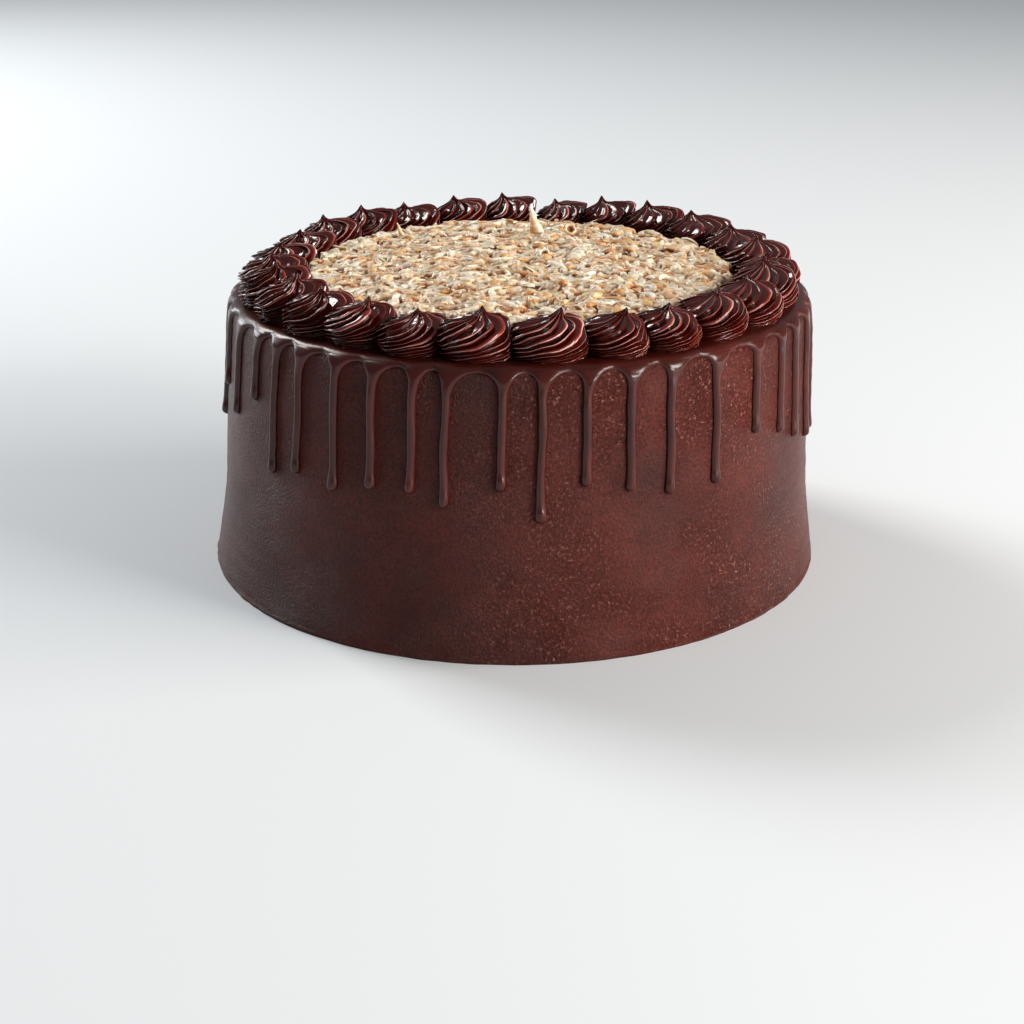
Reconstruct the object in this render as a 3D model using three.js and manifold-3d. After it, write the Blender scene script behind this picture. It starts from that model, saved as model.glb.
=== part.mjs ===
// German chocolate cake, uncut: a frosted round cake under poured ganache that runs down
// the side in drips, a ring of piped swirls on the rim, and a coconut and pecan topping.
// Millimetres, +Z up. The origin is the middle of the flat underside.

import * as THREE from 'three';
import { mergeVertices } from 'three/addons/utils/BufferGeometryUtils.js';
import Module from 'manifold-3d';

// Frosted cake
const baseRadius = 105.6;
const flareTopRadius = 101.7; // the frosting spreads from here down to the foot
const flareTopHeight = 28;
const flareCurve = 1.1;
const sideTopRadius = 97.95;
const sideTopHeight = 89;
const shoulderRadius = 97;
const shoulderHeight = 91.2;
const flatTopRadius = 94.6;
const cakeHeight = 92.2;
const topLean = 1.7; // the top stands this far towards +X of the foot
const sideWaveDepth = 0.3;
const bodySides = 60;
const bodyRowHeights = [14, 28, 58];

// Ganache
const seamGap = 0.3; // left between pieces that touch
const drapeGap = 0.35; // the same, measured level from the side of the cake
const ganacheTop = 93.5;
const ganacheUnderside = cakeHeight + seamGap;
const ganacheFlatRadius = 95;
const ganacheLip = { radius: 97.3, height: 92.75 };
const ganacheEdge = { radius: 97.45, height: 91.45 };
const underRimRadius = 94.75;
const dripCrestShare = 0.45; // half width of a drip's flat crest, as a share of its own
// where a drip leaves the disc: heights and half widths
const dripFunnel = [
  { height: ganacheEdge.height, left: 3.2, right: 5.2, thickness: 1.35 },
  { height: sideTopHeight, left: 2.3, right: 3, thickness: 1.5 },
  { height: 85, left: 1.75, right: 1.9, thickness: 1.5 },
];
// the round end of a drip: heights above its lower end, half widths and thicknesses
const dripBulb = [
  { above: 6, half: 1.65, thickness: 1.45 },
  { above: 2, half: 1.95, thickness: 1.6 },
  { above: 0, half: 0.9, thickness: 0.7 },
];
// the drips of the front, anticlockwise from +X: degrees, height of the lower end
const frontDrips = [
  [185, 50], [193, 65], [203, 60], [212, 69], [219, 48], [226, 51], [235, 49],
  [243, 52], [251, 52.5], [257, 49], [267, 55], [274, 45], [282, 56], [290, 53],
  [298, 50], [308, 50], [319, 62], [328, 58], [335, 53], [344, 48], [352, 46],
];
const rearDripCount = 22;
const rearDripEnds = { low: 46, high: 68 };
const rearDripStray = 1.2; // degrees

// Swirls
const swirlRingRadius = 83.6;
const swirlFloor = ganacheTop + seamGap;
const swirlHeight = 13.3;
const swirlHalfWidth = 12;
const swirlRidges = 12;
const swirlTwist = 2.5; // radians, from the foot to the tip
const swirlTwistCurve = 1.8;
const swirlLean = 2.4; // the tip is pulled along the ring by this much
const swirlSizeStray = 0.05;
const swirlHeightStray = 0.11;
const swirlSoftShare = 0.75; // past this share of its room a swirl is pressed flatter
const swirlSpread = 1.06; // how far a swirl would reach along the ring, as a share of its room
const swirlShoulder = 1.3; // the trailing side of a swirl's last turn stands up by this much
// share of the height, share of the half width, depth of the valleys as a share of the radius,
// share of the shoulder
const swirlRings = [
  { rise: 0, reach: 0.87, valley: 0.1, shoulder: 0 },
  { rise: 0.27, reach: 1, valley: 0.14, shoulder: 0 },
  { rise: 0.55, reach: 0.94, valley: 0.17, shoulder: 0.8 },
  { rise: 0.75, reach: 0.68, valley: 0.22, shoulder: 1 },
  { rise: 0.88, reach: 0.27, valley: 0.3, shoulder: 0.3 },
];
// where the tips stand round the ring, anticlockwise from +X, in degrees
const swirlAngles = [
  -2, 11, 25, 41, 55.5, 68.5, 81, 94, 107.5, 121.5, 134, 147.5, 159, 172, 185, 198,
  211, 222.5, 236.5, 249, 262, 278, 292, 303, 317, 331, 346,
];

// Topping
const toppingFloor = ganacheTop + seamGap;
const toppingEdgeTop = 99.4;
const toppingDome = 1.7;
const toppingRound = 1.2; // how far its edge is rounded in
const toppingEdgeMiddle = 96.6;
const toppingClearance = 0.8; // to the swirls, at their widest
const toppingValleyRadius = 73; // the topping swells out this far between two swirls
const swirlRoomHalfDepth = 12.6; // the largest swirl's room, across and along the ring
const swirlRoomHalfLength = 10.5;
const bumpSpacing = 7.4;
const bumpHeight = 0.75;
const bumpShift = 1.6;
const shredCount = 36;
const shredSize = { length: 8, width: 2.1, thickness: 1.3 };
const shredBend = 0.8;
const shredLift = 0.5;
const nutCount = 20;
const nutSize = { length: 3.4, width: 2.5, height: 1.7 };
const scatterRadius = 64;
const goldenAngle = Math.PI * (3 - Math.sqrt(5));
// shreds that stand on end: place, height, radii, and how far they lean along X
const standingShreds = [
  { x: 8.3, y: 43.1, height: 10.8, foot: 2.1, tip: 0.6, lean: -2.8 },
  { x: -40.3, y: 43.3, height: 5.5, foot: 1.3, tip: 0.5, lean: -2.1 },
];
const standingSink = 1.5;

const materialOf = {
  body: { color: 0x46211c, roughness: 0.5, metalness: 0 },
  ganache: { color: 0x34140f, roughness: 0.3, metalness: 0 },
  swirl: { color: 0x32140f, roughness: 0.25, metalness: 0 },
  topping: { color: 0xc8ae92, roughness: 0.45, metalness: 0 },
};

const wasm = await Module();
wasm.setup();

// Repeatable draws from 0 to 1
function seededDraws(seed) {
  let state = seed;
  return () => {
    state = (state + 0x6d2b79f5) | 0;
    let mixed = Math.imul(state ^ (state >>> 15), 1 | state);
    mixed = (mixed + Math.imul(mixed ^ (mixed >>> 7), 61 | mixed)) ^ mixed;
    return ((mixed ^ (mixed >>> 14)) >>> 0) / 2 ** 32;
  };
}

// A draw from -1 to 1
const stray = (draw) => 2 * draw() - 1;
const radians = THREE.MathUtils.degToRad;

// One closed surface: its corners are shared and the faces that shrink to a line are gone
function closedGeometry(geometry) {
  geometry.deleteAttribute('normal');
  geometry.deleteAttribute('uv');
  const merged = mergeVertices(geometry, 1e-4);
  const index = merged.getIndex().array;
  const kept = [];
  for (let i = 0; i < index.length; i += 3) {
    const [a, b, c] = index.slice(i, i + 3);
    if (a !== b && b !== c && c !== a) {
      kept.push(a, b, c);
    }
  }
  merged.setIndex(kept);
  return merged;
}

// A profile of [radius, height] points turned round the upright axis
function standingLathe(profile, sides) {
  const points = profile.map(([radius, height]) => new THREE.Vector2(radius, height));
  const geometry = new THREE.LatheGeometry(points, sides);
  geometry.rotateX(Math.PI / 2);
  return closedGeometry(geometry);
}

// Moves every corner of a geometry by a function of its position
function reshape(geometry, move) {
  const position = geometry.getAttribute('position');
  const point = new THREE.Vector3();
  for (let i = 0; i < position.count; i += 1) {
    point.fromBufferAttribute(position, i);
    move(point);
    position.setXYZ(i, point.x, point.y, point.z);
  }
  return geometry;
}

function namedMesh(name, geometry, look) {
  const shaded = geometry.toNonIndexed();
  shaded.computeVertexNormals();
  const mesh = new THREE.Mesh(shaded, new THREE.MeshStandardMaterial(look));
  mesh.name = name;
  return mesh;
}

// The side of the cake

function sideRadius(height) {
  if (height < flareTopHeight) {
    const spread = (1 - height / flareTopHeight) ** flareCurve;
    return flareTopRadius + (baseRadius - flareTopRadius) * spread;
  }
  const share = (height - flareTopHeight) / (sideTopHeight - flareTopHeight);
  return THREE.MathUtils.lerp(flareTopRadius, sideTopRadius, share);
}

// The smoothed frosting isn't quite round; the foot is
function sideWave(angle, height) {
  const rise = Math.min(1, height / flareTopHeight);
  const wide = 0.6 * Math.sin(2 * angle + 0.7);
  const narrow = 0.4 * Math.sin(5 * angle + height / 30);
  return sideWaveDepth * rise * (wide + narrow);
}

const leanAt = (height) => (topLean * height) / ganacheTop;

// The point at an angle, radius and height of the leaning, wavy cake
function onCake(angle, radius, height) {
  const reach = radius + sideWave(angle, height) * Math.min(1, radius / flatTopRadius);
  const x = reach * Math.cos(angle) + leanAt(height);
  return new THREE.Vector3(x, reach * Math.sin(angle), height);
}

function cakeBody() {
  const rows = bodyRowHeights.map((height) => [sideRadius(height), height]);
  const profile = [
    [0, 0],
    [baseRadius, 0],
    ...rows,
    [sideTopRadius, sideTopHeight],
    [shoulderRadius, shoulderHeight],
    [flatTopRadius, cakeHeight],
    [0, cakeHeight],
  ];
  const geometry = reshape(standingLathe(profile, bodySides), (point) => {
    const angle = Math.atan2(point.y, point.x);
    point.copy(onCake(angle, Math.hypot(point.x, point.y), point.z));
  });
  return namedMesh('cake_body', geometry, materialOf.body);
}

// The ganache: a disc over the top whose edge runs out between the drips

function allDrips() {
  const draw = seededDraws(11);
  const drips = frontDrips.map(([degrees, end]) => ({ angle: radians(degrees), end }));
  const last = frontDrips[frontDrips.length - 1][0];
  const step = (frontDrips[0][0] + 360 - last) / (rearDripCount + 1);
  for (let i = 1; i <= rearDripCount; i += 1) {
    const angle = radians(last + i * step + rearDripStray * stray(draw));
    const end = THREE.MathUtils.lerp(rearDripEnds.low, rearDripEnds.high, draw());
    drips.push({ angle, end });
  }
  return drips;
}

// Collects corners and faces of a surface that is built piece by piece
function surfaceBuilder() {
  const corners = [];
  const faces = [];
  return {
    corner(point) {
      corners.push(point.x, point.y, point.z);
      return corners.length / 3 - 1;
    },
    face(a, b, c) {
      faces.push(a, b, c);
    },
    quad(a, b, c, d) {
      faces.push(a, b, c, a, c, d);
    },
    geometry() {
      const geometry = new THREE.BufferGeometry();
      geometry.setAttribute('position', new THREE.Float32BufferAttribute(corners, 3));
      geometry.setIndex(faces);
      return geometry;
    },
  };
}

// Rows of a drip from the edge of the disc down to its round end
function dripRows(end) {
  const bulb = dripBulb.map(({ above, half, thickness }) => {
    return { height: end + above, left: half, right: half, thickness };
  });
  return [...dripFunnel, ...bulb];
}

// The cake's own radius at a row of a drip, with the gap between ganache and frosting
function drapeRadius(height) {
  return height < ganacheEdge.height ? sideRadius(height) + drapeGap : ganacheEdge.radius;
}

// The four corners of a drip at one row: left edge, two of the crest, right edge
function dripRow(surface, drip, row) {
  const radius = drapeRadius(row.height);
  const shares = [-row.left, -row.left * dripCrestShare, row.right * dripCrestShare, row.right];
  const lifts = [0, row.thickness, row.thickness, 0];
  return shares.map((along, i) => {
    const angle = drip.angle + along / radius;
    return surface.corner(onCake(angle, radius + lifts[i], row.height));
  });
}

function buildDrip(surface, drip) {
  const rows = dripRows(drip.end).map((row) => dripRow(surface, drip, row));
  for (let i = 0; i + 1 < rows.length; i += 1) {
    const [upper, lower] = [rows[i], rows[i + 1]];
    for (let j = 0; j < 3; j += 1) {
      surface.quad(upper[j], lower[j], lower[j + 1], upper[j + 1]);
    }
    surface.quad(upper[3], lower[3], lower[0], upper[0]);
  }
  const end = rows[rows.length - 1];
  surface.quad(end[0], end[3], end[2], end[1]);
  return rows[0];
}

// The angles of the disc's columns over one drip and the gap after it
function columnAngles(drip, next) {
  const { left, right } = dripFunnel[0];
  const turn = next.angle > drip.angle ? next.angle : next.angle + 2 * Math.PI;
  const gapStart = drip.angle + right / ganacheEdge.radius;
  const gapEnd = turn - left / ganacheEdge.radius;
  return {
    over: [-left, -left * dripCrestShare, right * dripCrestShare, right].map(
      (along) => drip.angle + along / ganacheEdge.radius,
    ),
    gap: (gapStart + gapEnd) / 2,
  };
}

function ganacheDrip() {
  const drips = allDrips();
  const surface = surfaceBuilder();
  const flat = [];
  const lip = [];
  const edge = []; // down to the drips' own rows
  const under = []; // the underside, which skips the crests of the drips
  drips.forEach((drip, i) => {
    const { over, gap } = columnAngles(drip, drips[(i + 1) % drips.length]);
    const firstRow = buildDrip(surface, drip);
    const columns = [...over, gap];
    const gapEdge = surface.corner(onCake(gap, ganacheEdge.radius, ganacheEdge.height));
    edge.push(...firstRow, gapEdge);
    columns.forEach((angle, j) => {
      const crest = j === 1 || j === 2;
      const lipRadius = ganacheLip.radius + (crest ? 0.6 : 0);
      flat.push(surface.corner(onCake(angle, ganacheFlatRadius, ganacheTop)));
      lip.push(surface.corner(onCake(angle, lipRadius, ganacheLip.height)));
      const below = crest ? -1 : surface.corner(onCake(angle, underRimRadius, ganacheUnderside));
      under.push(below);
    });
  });
  const middleTop = surface.corner(onCake(0, 0, ganacheTop));
  const middleUnder = surface.corner(onCake(0, 0, ganacheUnderside));
  for (let i = 0; i < flat.length; i += 1) {
    const next = (i + 1) % flat.length;
    surface.face(middleTop, flat[i], flat[next]);
    surface.quad(flat[i], lip[i], lip[next], flat[next]);
    surface.quad(lip[i], edge[i], edge[next], lip[next]);
  }
  const kept = under.map((corner, i) => i).filter((i) => under[i] >= 0);
  kept.forEach((i, k) => {
    const next = kept[(k + 1) % kept.length];
    surface.quad(edge[i], under[i], under[next], edge[next]);
    surface.face(middleUnder, under[next], under[i]);
  });
  return namedMesh('ganache_drip', surface.geometry(), materialOf.ganache);
}

// The piped swirls

// Presses an offset softly against the room that the neighbour leaves
function press(offset, room) {
  const soft = room * swirlSoftShare;
  const beyond = Math.abs(offset) - soft;
  if (beyond <= 0) {
    return offset;
  }
  const give = room - soft;
  return Math.sign(offset) * (soft + give * (1 - Math.exp(-beyond / give)));
}

// Room along the ring at a distance outwards from the ring, up to the plane halfway between
// two swirls
function roomAlongRing(outwards, halfAngle) {
  const reach = (swirlRingRadius + outwards) * Math.tan(halfAngle);
  return reach - seamGap / 2 / Math.cos(halfAngle);
}

function swirlGeometry(height, halfWidth, before, after) {
  const rings = swirlRings.map(({ rise, reach }) => [reach * halfWidth, rise * height]);
  const profile = [[0, 0], ...rings, [0, height]];
  const ringAt = new Map(swirlRings.map((ring) => [ring.rise.toFixed(2), ring]));
  const geometry = standingLathe(profile, 2 * swirlRidges);
  return reshape(geometry, (point) => {
    const radius = Math.hypot(point.x, point.y);
    const angle = Math.atan2(point.y, point.x);
    const rise = THREE.MathUtils.clamp(point.z / height, 0, 1);
    const side = Math.round((angle * swirlRidges) / Math.PI);
    const ring = ringAt.get(rise.toFixed(2)) ?? { valley: 0, shoulder: 0 };
    const valley = side % 2 === 0 ? 0 : ring.valley;
    const turned = angle + swirlTwist * (1 - (1 - rise) ** swirlTwistCurve);
    const reach = radius * (1 - valley);
    const outwards = reach * Math.cos(turned);
    const along = reach * Math.sin(turned);
    const halfAngle = along > 0 ? after : before;
    const spread = (swirlSpread * roomAlongRing(0, halfAngle)) / halfWidth;
    const trailing = Math.max(0, -along / halfWidth);
    point.x = outwards;
    point.z += swirlShoulder * ring.shoulder * trailing;
    point.y = press(along * spread, roomAlongRing(outwards, halfAngle)) + swirlLean * rise ** 2;
  });
}

function swirls() {
  const draw = seededDraws(23);
  const tipLean = swirlLean / swirlRingRadius;
  const angles = swirlAngles.map((degrees) => radians(degrees) - tipLean);
  return angles.map((angle, i) => {
    const before = (angle - angles.at(i - 1) + 2 * Math.PI) % (2 * Math.PI);
    const after = (angles[(i + 1) % angles.length] - angle + 2 * Math.PI) % (2 * Math.PI);
    const height = swirlHeight * (1 + swirlHeightStray * stray(draw));
    const halfWidth = swirlHalfWidth * (1 + swirlSizeStray * stray(draw));
    const geometry = swirlGeometry(height, halfWidth, before / 2, after / 2);
    const number = String(i + 1).padStart(2, '0');
    const mesh = namedMesh(`swirl_${number}`, geometry, materialOf.swirl);
    mesh.position.x = swirlRingRadius * Math.cos(angle) + leanAt(ganacheTop);
    mesh.position.y = swirlRingRadius * Math.sin(angle);
    mesh.position.z = swirlFloor;
    mesh.rotation.z = angle;
    return mesh;
  });
}

// The coconut and pecan topping: a lumpy core with shreds and nut pieces fused on

const toppingHeight = (radius) => {
  const share = radius / toppingValleyRadius;
  return toppingEdgeTop + toppingDome * (1 - share * share);
};

// Clear of the swirl nearest to an angle, and out to the valley radius between two swirls
function toppingReach(angle, swirlAngle) {
  const along = Math.min(1, (swirlRingRadius * Math.abs(angle - swirlAngle)) / swirlRoomHalfLength);
  const inwards = swirlRoomHalfDepth * Math.sqrt(1 - along * along);
  return Math.min(swirlRingRadius - inwards - toppingClearance, toppingValleyRadius);
}

// Two outline points for each swirl: at its middle and halfway to the next one
function toppingOutline() {
  const tipLean = swirlLean / swirlRingRadius;
  const angles = swirlAngles.map((degrees) => radians(degrees) - tipLean);
  return angles.flatMap((angle, i) => {
    const next = i + 1 < angles.length ? angles[i + 1] : angles[0] + 2 * Math.PI;
    const between = (angle + next) / 2;
    return [
      { angle, reach: toppingReach(angle, angle) },
      { angle: between, reach: toppingReach(between, angle) },
    ];
  });
}

// Joins two rings of corners with different counts; both start at about the same angle
function stitchRings(surface, outer, inner) {
  let [i, j] = [0, 0];
  while (i < outer.length || j < inner.length) {
    const a = outer[i % outer.length];
    const b = inner[j % inner.length];
    const outerFirst = (i + 1) * inner.length <= (j + 1) * outer.length;
    if (j >= inner.length || (i < outer.length && outerFirst)) {
      i += 1;
      surface.face(a, outer[i % outer.length], b);
    } else {
      j += 1;
      surface.face(a, inner[j % inner.length], b);
    }
  }
}

// The lumpy top: rings of corners about a bump apart, each moved by a draw
function bumpRings(corner) {
  const draw = seededDraws(37);
  const rings = [];
  for (let radius = scatterRadius; radius > bumpSpacing / 2; radius -= bumpSpacing) {
    const count = Math.round((2 * Math.PI * radius) / bumpSpacing);
    const ring = [];
    for (let i = 0; i < count; i += 1) {
      const reach = radius + bumpShift * stray(draw);
      const angle = (2 * Math.PI * i) / count + (bumpShift * stray(draw)) / radius;
      ring.push(corner(angle, reach, toppingHeight(reach) + bumpHeight * stray(draw)));
    }
    rings.push(ring);
  }
  return rings;
}

function toppingCore() {
  const surface = surfaceBuilder();
  const outline = toppingOutline();
  const middle = leanAt(ganacheTop);
  const corner = (angle, radius, height) => {
    const x = radius * Math.cos(angle) + middle;
    return surface.corner(new THREE.Vector3(x, radius * Math.sin(angle), height));
  };
  const side = [
    outline.map(({ angle, reach }) => corner(angle, reach - toppingRound, toppingFloor)),
    outline.map(({ angle, reach }) => corner(angle, reach, toppingEdgeMiddle)),
    outline.map(({ angle, reach }) => corner(angle, reach - toppingRound, toppingEdgeTop)),
  ];
  const rings = [...side, ...bumpRings(corner)];
  for (let i = 0; i + 1 < rings.length; i += 1) {
    stitchRings(surface, rings[i], rings[i + 1]);
  }
  const middleUnder = corner(0, 0, toppingFloor);
  const middleTop = corner(0, 0, toppingHeight(0));
  const floor = side[0];
  floor.forEach((from, i) => surface.face(middleUnder, floor[(i + 1) % floor.length], from));
  const last = rings[rings.length - 1];
  last.forEach((from, i) => surface.face(middleTop, from, last[(i + 1) % last.length]));
  return surface.geometry();
}

// A flat strip, bowed along its length, lying at an angle on the core
function lyingShred(draw, x, y) {
  const { length, width, thickness } = shredSize;
  const size = 1 + 0.25 * stray(draw);
  const strip = closedGeometry(new THREE.BoxGeometry(length * size, width, thickness, 2, 1, 1));
  const bend = shredBend * stray(draw);
  reshape(strip, (point) => {
    const share = (2 * point.x) / (length * size);
    const taper = 1 - 0.45 * share * share;
    point.y = point.y * taper + bend * (1 - share * share);
    point.z += shredLift * (1 - share * share);
  });
  strip.rotateX(0.35 * stray(draw));
  strip.rotateY(0.22 * stray(draw));
  strip.rotateZ(Math.PI * draw());
  return strip.translate(x, y, toppingHeight(Math.hypot(x, y)) + shredLift);
}

function nutPiece(draw, x, y) {
  const size = 1 + 0.3 * stray(draw);
  const piece = closedGeometry(new THREE.IcosahedronGeometry(size, 0));
  piece.scale(nutSize.length, nutSize.width, nutSize.height);
  piece.rotateX(0.4 * stray(draw));
  piece.rotateZ(Math.PI * draw());
  return piece.translate(x, y, toppingHeight(Math.hypot(x, y)) + shredLift);
}

// A shred on end: a thin pyramid with four sides, its foot sunk into the core
function standingShred({ x, y, height, foot, tip, lean }) {
  const length = height + standingSink;
  const spike = new THREE.CylinderGeometry(tip, foot, length, 4, 1);
  spike.rotateX(Math.PI / 2);
  spike.scale(1, 0.6, 1);
  const floor = toppingHeight(Math.hypot(x, y)) - standingSink;
  return reshape(closedGeometry(spike), (point) => {
    const rise = point.z / length + 0.5;
    point.set(point.x + x + lean * rise, point.y + y, floor + rise * length);
  });
}

function asSolid(geometry) {
  const vertProperties = new Float32Array(geometry.getAttribute('position').array);
  const triVerts = new Uint32Array(geometry.getIndex().array);
  return new wasm.Manifold(new wasm.Mesh({ numProp: 3, vertProperties, triVerts }));
}

function asGeometry(solid) {
  const { vertProperties, triVerts } = solid.getMesh();
  const geometry = new THREE.BufferGeometry();
  geometry.setAttribute('position', new THREE.BufferAttribute(vertProperties, 3));
  geometry.setIndex(new THREE.BufferAttribute(triVerts, 1));
  return geometry;
}

// Pieces spread evenly on a sunflower spiral, every third or so a nut piece
function toppingPieces() {
  const draw = seededDraws(53);
  const count = shredCount + nutCount;
  const everyNut = Math.floor(count / nutCount);
  const middle = leanAt(ganacheTop);
  const pieces = standingShreds.map(standingShred);
  for (let i = 0; i < count; i += 1) {
    const radius = scatterRadius * Math.sqrt((i + 0.5) / count);
    const x = radius * Math.cos(i * goldenAngle) + middle;
    const y = radius * Math.sin(i * goldenAngle);
    pieces.push(i % everyNut === 0 ? nutPiece(draw, x, y) : lyingShred(draw, x, y));
  }
  return pieces;
}

function coconutPecanTopping() {
  const solid = toppingPieces().reduce(
    (joined, piece) => joined.add(asSolid(piece)),
    asSolid(toppingCore()),
  );
  return namedMesh('coconut_pecan_topping', asGeometry(solid), materialOf.topping);
}

const group = new THREE.Group();
group.add(cakeBody(), ganacheDrip(), coconutPecanTopping(), ...swirls());

export default group;
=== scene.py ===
import math
from functools import partial
import bpy
import bmesh
import numpy as np
from mathutils import Matrix, Vector, geometry


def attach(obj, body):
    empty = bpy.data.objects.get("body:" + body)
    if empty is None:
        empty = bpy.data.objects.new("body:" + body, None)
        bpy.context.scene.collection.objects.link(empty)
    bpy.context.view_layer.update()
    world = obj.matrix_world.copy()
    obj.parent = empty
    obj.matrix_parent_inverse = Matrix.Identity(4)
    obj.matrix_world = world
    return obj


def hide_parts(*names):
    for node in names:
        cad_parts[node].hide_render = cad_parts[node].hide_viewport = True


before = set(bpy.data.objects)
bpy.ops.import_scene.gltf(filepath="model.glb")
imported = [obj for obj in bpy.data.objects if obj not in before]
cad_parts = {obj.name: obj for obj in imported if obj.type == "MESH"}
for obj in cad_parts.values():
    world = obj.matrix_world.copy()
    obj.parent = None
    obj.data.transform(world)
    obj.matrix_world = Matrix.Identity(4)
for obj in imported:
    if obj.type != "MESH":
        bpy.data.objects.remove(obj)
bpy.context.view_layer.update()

mm = 0.001
goldenAngle = math.pi * (3 - math.sqrt(5))

# the cake's own shape, as in the CAD model
cake = {
    "footRadius": 105.6,
    "flareTopRadius": 101.7,  # the frosting spreads from here down to the foot
    "flareTopHeight": 28,
    "flareCurve": 1.1,
    "sideTopRadius": 97.95,
    "sideTopHeight": 89,
    "sideSlope": 3.5,  # degrees off upright above the flare
    "shoulderRound": 3.3,
    "shoulderMiddle": (94.65, 88.9),  # radius and height
    "height": 92.2,
    "lean": 1.7,  # towards +X at the height below
    "leanHeight": 93.5,
    "wave": 0.3,  # how far the side wanders in and out
    "waveFrom": 94.6,  # at its full size from this radius outwards
}


# Helpers

def linear(hexColour):
    values = [int(hexColour[i:i + 2], 16) / 255 for i in (1, 3, 5)]
    turned = [v / 12.92 if v <= 0.04045 else ((v + 0.055) / 1.055) ** 2.4 for v in values]
    return (*turned, 1)


def seededDraws(seed):
    # repeatable draws from 0 to 1, the ones that placed the CAD solids
    whole = 0xFFFFFFFF
    state = seed

    def draw():
        nonlocal state
        state = (state + 0x6D2B79F5) & whole
        mixed = ((state ^ (state >> 15)) * (1 | state)) & whole
        mixed = ((mixed + (((mixed ^ (mixed >> 7)) * (61 | mixed)) & whole)) & whole) ^ mixed
        return ((mixed ^ (mixed >> 14)) & whole) / 2 ** 32
    return draw


def stray(draw):
    return 2 * draw() - 1


def ripples(points, seed, length, count=20):
    # smooth random field over points, about -1 to 1, with waves of about this length
    chance = np.random.default_rng(seed)
    ways = chance.normal(size=(count, 3))
    ways /= np.linalg.norm(ways, axis=1)[:, None]
    ways *= (2 * math.pi / (length * chance.uniform(0.7, 1.5, count)))[:, None]
    phases = chance.uniform(0, 2 * math.pi, count)
    return np.sin(points @ ways.T + phases).sum(axis=1) / math.sqrt(count)


def smoothStep(low, high, value):
    share = np.clip((value - low) / (high - low), 0, 1)
    return share * share * (3 - 2 * share)


def giveOrTake(chance, share, count=None):
    # 1, give or take up to a share
    return 1 + share * chance.uniform(-1, 1, count)


def ringTurns(count):
    return np.linspace(0, 2 * math.pi, count, endpoint=False)


def quarterTurn(count):
    # from 0 to 1, in steps that start small and grow
    return 1 - np.cos(np.linspace(0, math.pi / 2, count))


def roundedEdge(share):
    # height of a quarter round, from 0 at its edge to 1 at its top
    return np.sqrt(1 - (1 - share) ** 2)


def roundPoints(angle, height):
    # points round a cylinder about as wide as the cake, where ripples are read
    return np.stack([100 * np.cos(angle), 100 * np.sin(angle), height], axis=1)


def gridFaces(rows, columns, first=0):
    # faces between rows of corners, each row closed into a ring
    faces = []
    for low in range(first, first + (rows - 1) * columns, columns):
        high = low + columns
        for i in range(columns):
            j = (i + 1) % columns
            faces.append((low + i, low + j, high + j, high + i))
    return faces


def makePiece(name, corners, faces, material, nodes, tonesAndPaintedLight=None):
    mesh = bpy.data.meshes.new(name)
    mesh.from_pydata((np.asarray(corners) * mm).tolist(), [], faces)
    shape = bmesh.new()
    shape.from_mesh(mesh)
    bmesh.ops.recalc_face_normals(shape, faces=shape.faces)
    shape.to_mesh(mesh)
    shape.free()
    mesh.shade_smooth()
    mesh.materials.append(material)
    if tonesAndPaintedLight is not None:
        # one tone from 0 to 1 for each corner, read by the material; it holds painted light and
        # shade as well as the pieces' own tones
        attribute = mesh.attributes.new("tone", "FLOAT", "POINT")
        attribute.data.foreach_set("value", np.asarray(tonesAndPaintedLight, np.float32))
    piece = bpy.data.objects.new(name, mesh)
    bpy.context.scene.collection.objects.link(piece)
    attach(piece, "root")
    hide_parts(*nodes)
    return piece


def newMaterial(name):
    # a material without nodes, and addNode for its tree
    material = bpy.data.materials.new(name)
    material.use_nodes = True
    material.node_tree.nodes.clear()
    return material, partial(addNode, material.node_tree)


def addNode(tree, kind, inputs, settings=None, stops=None):
    # an input that is given a socket is linked to it, one that is given a node is linked to
    # that node's first output, and any other takes the value
    node = tree.nodes.new("ShaderNode" + kind)
    for key, value in (settings or {}).items():
        setattr(node, key, value)
    for key, value in inputs.items():
        if isinstance(value, bpy.types.Node):
            value = value.outputs[0]
        if isinstance(value, bpy.types.NodeSocket):
            tree.links.new(value, node.inputs[key])
        else:
            node.inputs[key].default_value = value
    for i, (place, colour) in enumerate(stops or []):
        elements = node.color_ramp.elements
        element = elements[i] if i < len(elements) else elements.new(place)
        element.position = place
        element.color = linear(colour)
    return node


# The cake's surface, in arrays

def sideRadius(height):
    spread = np.clip(1 - height / cake["flareTopHeight"], 0, 1) ** cake["flareCurve"]
    rise = (height - cake["flareTopHeight"]) / (cake["sideTopHeight"] - cake["flareTopHeight"])
    taper = np.clip(rise, 0, 2) * (cake["sideTopRadius"] - cake["flareTopRadius"])
    return cake["flareTopRadius"] + (cake["footRadius"] - cake["flareTopRadius"]) * spread + taper


# The frosting's unevenness in millimetres: broad waves left by turning the cake under a
# scraper, and long shallow drag marks
relief = {
    "broad": 0.17,
    "broadLength": 38,
    "drag": 0.05,
    "dragLength": 26,
    "dragSquash": 7,
    "fade": 6,  # it fades out below this height
}


def scraperRelief(angle, height):
    around = roundPoints(angle, height)
    broad = relief["broad"] * ripples(around, 3, relief["broadLength"])
    drag = ripples(around * [1, 1, relief["dragSquash"]], 5, relief["dragLength"])
    return (broad + relief["drag"] * drag) * smoothStep(0, relief["fade"], height)


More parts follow.
